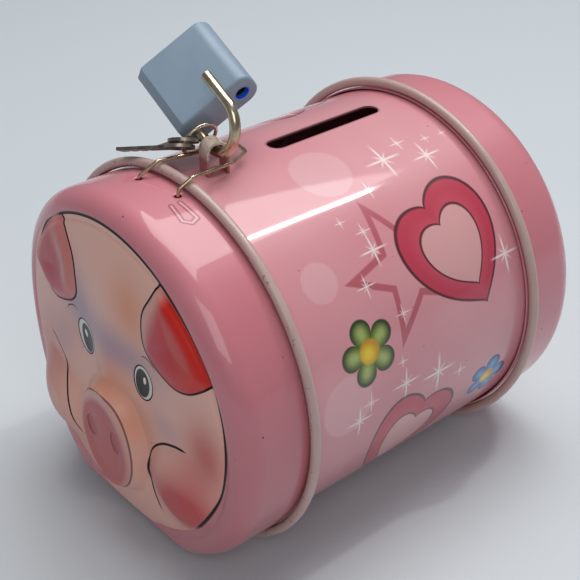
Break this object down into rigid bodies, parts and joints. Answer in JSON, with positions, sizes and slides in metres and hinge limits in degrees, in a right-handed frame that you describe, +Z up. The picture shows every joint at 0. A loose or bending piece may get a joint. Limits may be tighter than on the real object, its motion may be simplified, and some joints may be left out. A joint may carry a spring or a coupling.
{
  "type": "money box",
  "caption": "Tin money box, a short drum on its side with a pig-face lid, a coin slot on top, and a wire hasp locked to a staple by a small padlock carrying its keys.",
  "frame": {"origin": "on the floor, midway across the drum and midway between the snout and the rear end", "axes": "+X to the right seen from the lid's side, +Y from the lid to the rear, +Z up"},
  "size_m": [0.0904, 0.1076, 0.1077],
  "materials": {
    "printed_tin": "glossy printed tin",
    "lid_tin": "glossy printed tin",
    "rear_tin": "glossy printed tin",
    "hinge_tin": "glossy",
    "hinge_wire": "plain wire",
    "staple_tin": "glossy, rust at the edges",
    "gilt_wire": "bright, pale gold tone",
    "shackle_steel": "bright, pale gold tone",
    "case_plastic": "satin moulded plastic",
    "core_brass": "plain",
    "latch_steel": "plain",
    "ring_steel": "bright wire",
    "key_steel": "worn bright sheet"
  },
  "bodies": {
    "tin": {"body_tube": "printed_tin", "rear_cap": "rear_tin", "staple": "staple_tin", "hinge_leaf_body": "hinge_tin", "hinge_pin": "hinge_wire"},
    "lid": {"front_lid": "lid_tin", "hinge_leaf_lid": "hinge_tin"},
    "hasp": {"hasp_wire": "gilt_wire"},
    "shackle": {"shackle": "shackle_steel"},
    "padlock": {"case_front": "case_plastic", "case_back": "case_plastic", "lock_core": "core_brass"},
    "plug": {"lock_plug": "core_brass"},
    "latch": {"latch": "latch_steel"},
    "ring": {"key_ring": "ring_steel"},
    "key_a": {"key_1": "key_steel"},
    "key_b": {"key_2": "key_steel"}
  },
  "joints": [
    {"name": "lid_hinge", "type": "hinge", "parent": "tin", "child": "lid", "pos_m": [0, -0.02715, 0.00135], "axis": [1, 0, 0], "range_deg": [0, 0.5]},
    {"name": "hasp_swing", "type": "hinge", "parent": "lid", "child": "hasp", "pos_m": [0.00045, -0.03467, 0.08262], "axis": [0.9918, 0.1273, -0.0106], "range_deg": [-0.5, 0.3]},
    {"name": "padlock_swing", "type": "hinge", "parent": "tin", "child": "shackle", "pos_m": [-0.0045, -0.02045, 0.08955], "axis": [0.9155, -0.0962, -0.3907], "range_deg": [-12, 1]},
    {"name": "padlock_turn", "type": "hinge", "parent": "shackle", "child": "padlock", "pos_m": [-0.0045, -0.02045, 0.08955], "axis": [0.9155, -0.0962, -0.3907], "range_deg": [-3, 10]},
    {"name": "plug_turn", "type": "hinge", "parent": "padlock", "child": "plug", "pos_m": [-0.00257, -0.0159, 0.09295], "axis": [0.9155, -0.0962, -0.3907], "range_deg": [0, 90.1]},
    {"name": "latch_slide", "type": "slide", "parent": "padlock", "child": "latch", "axis": [0.3216, 0.7585, 0.5667], "range_m": [-0.0017, 0]},
    {"name": "ring_swing", "type": "hinge", "parent": "shackle", "child": "ring", "pos_m": [-0.0045, -0.02045, 0.08955], "axis": [0.9155, -0.0962, -0.3907], "range_deg": [-3, 1]},
    {"name": "key_1_swing", "type": "hinge", "parent": "ring", "child": "key_a", "pos_m": [-0.00358, -0.02516, 0.0874], "axis": [-0.4234, 0.2169, -0.8796], "range_deg": [-3, 1]},
    {"name": "key_2_swing", "type": "hinge", "parent": "ring", "child": "key_b", "pos_m": [-0.00274, -0.02512, 0.08912], "axis": [-0.4306, -0.2498, -0.8673], "range_deg": [-2, 2]}
  ],
  "couplings": [
    {"joint": "plug_turn", "follows": "latch_slide", "rad_per_m": -923.9}
  ]
}
